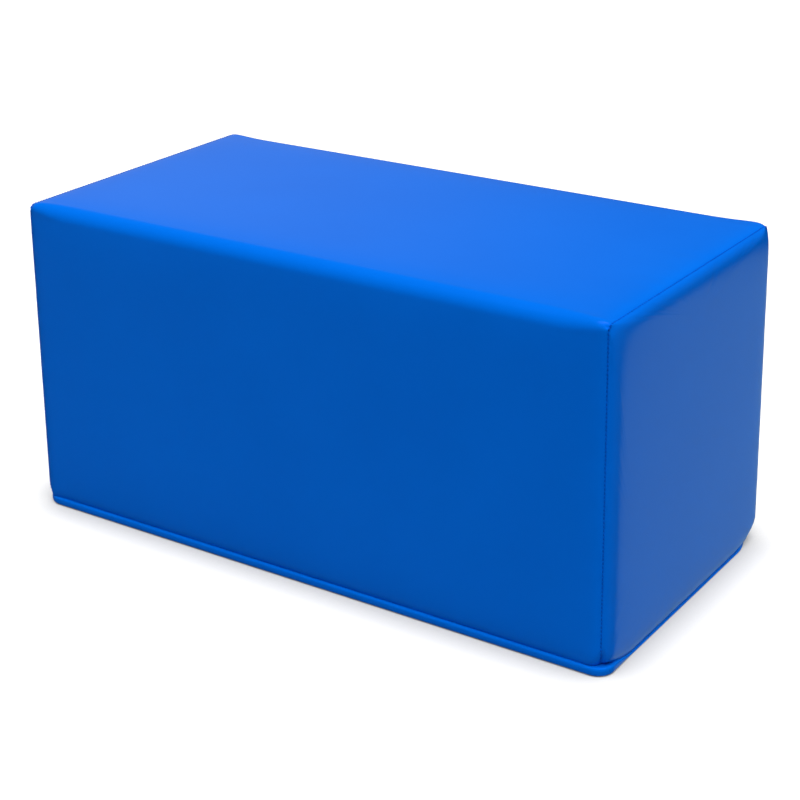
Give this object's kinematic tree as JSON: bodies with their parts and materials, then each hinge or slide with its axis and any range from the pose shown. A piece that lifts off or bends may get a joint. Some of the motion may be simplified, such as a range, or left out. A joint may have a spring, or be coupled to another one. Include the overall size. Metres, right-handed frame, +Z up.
{
  "type": "foam block",
  "caption": "Upholstered rectangular foam block with a glossy blue coated-fabric cover, sewn end panels and a rolled rim round its base.",
  "frame": {"origin": "centre of the underside, on the surface that the block stands on", "axes": "+X along the block to its right end, -Y out of the front, +Z up"},
  "size_m": [0.6, 0.3, 0.3],
  "materials": {
    "foam": "open-cell polyurethane foam, matte",
    "cover": "glossy coated fabric, soft artificial leather",
    "thread": "bonded polyester sewing thread"
  },
  "bodies": {
    "root": {"foam_core": "foam", "front_top_back_strip": "cover", "right_end_panel": "cover", "left_end_panel": "cover", "base_panel": "cover", "right_seam_thread": "thread", "left_seam_thread": "thread", "front_seam_thread": "thread", "back_seam_thread": "thread"}
  },
  "joints": []
}
